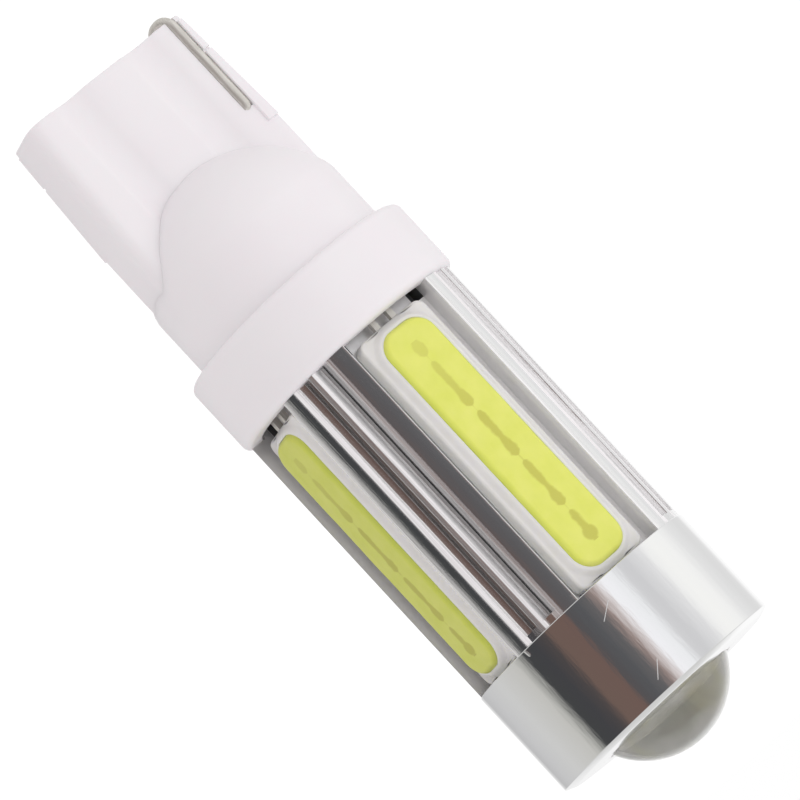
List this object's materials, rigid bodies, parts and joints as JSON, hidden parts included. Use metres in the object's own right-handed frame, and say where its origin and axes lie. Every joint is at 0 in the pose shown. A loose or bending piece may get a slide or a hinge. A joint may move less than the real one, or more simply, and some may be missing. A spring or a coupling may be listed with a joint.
{
  "type": "wedge base led bulb",
  "caption": "Wedge base LED bulb: flat plastic blade with folded contact wires, round collar, slotted aluminium body with light strips, polished front collar and domed lens.",
  "frame": {"origin": "on the bulb's axis, in the plane of the collar's rear shoulder, which seats on the lamp holder", "axes": "+Z along the bulb's axis towards the lens; the wedge's broad faces look along -Y and +Y; light strips look along -Y, +X, +Y and -X"},
  "size_m": [0.0124, 0.0124, 0.0403],
  "materials": {
    "white_plastic": "moulded, translucent white, soft sheen",
    "tinned_wire": "tinned, dull grey-brown",
    "polished_aluminium": "bright machined, with fine turning lines on the front collar",
    "grey_adhesive": "cured heat-conducting adhesive",
    "white_board": "white solder mask on a metal board",
    "led_die": "light-emitting dies seen through phosphor",
    "yellow_phosphor": "yellow-green phosphor in silicone, satin",
    "chip_package": "white ceramic package",
    "clear_lens": "clear moulded lens",
    "red_insulation": "soft wire insulation",
    "black_insulation": "soft wire insulation",
    "green_board": "green solder mask on glass-filled board",
    "black_package": "moulded black epoxy",
    "tan_ceramic": "fired ceramic body"
  },
  "bodies": {
    "root": {"wedge_base": "white_plastic", "contact_wire_1": "tinned_wire", "contact_wire_2": "tinned_wire", "heat_sink": "polished_aluminium", "strip_adhesive_1": "grey_adhesive", "strip_adhesive_2": "grey_adhesive", "strip_adhesive_3": "grey_adhesive", "strip_adhesive_4": "grey_adhesive", "strip_board_1": "white_board", "strip_board_2": "white_board", "strip_board_3": "white_board", "strip_board_4": "white_board", "led_dies_1": "led_die", "led_dies_2": "led_die", "led_dies_3": "led_die", "led_dies_4": "led_die", "phosphor_strip_1": "yellow_phosphor", "phosphor_strip_2": "yellow_phosphor", "phosphor_strip_3": "yellow_phosphor", "phosphor_strip_4": "yellow_phosphor", "strip_leads_1": "tinned_wire", "strip_leads_2": "tinned_wire", "strip_leads_3": "tinned_wire", "strip_leads_4": "tinned_wire", "front_thermal_pad": "grey_adhesive", "front_board": "white_board", "front_led": "chip_package", "front_phosphor": "yellow_phosphor", "front_lens": "clear_lens", "front_lead_1": "red_insulation", "front_lead_2": "black_insulation", "driver_board": "green_board", "driver_chip": "black_package", "bridge_rectifier": "black_package", "smoothing_capacitor": "tan_ceramic", "current_resistor_1": "black_package", "current_resistor_2": "black_package"}
  },
  "joints": []
}
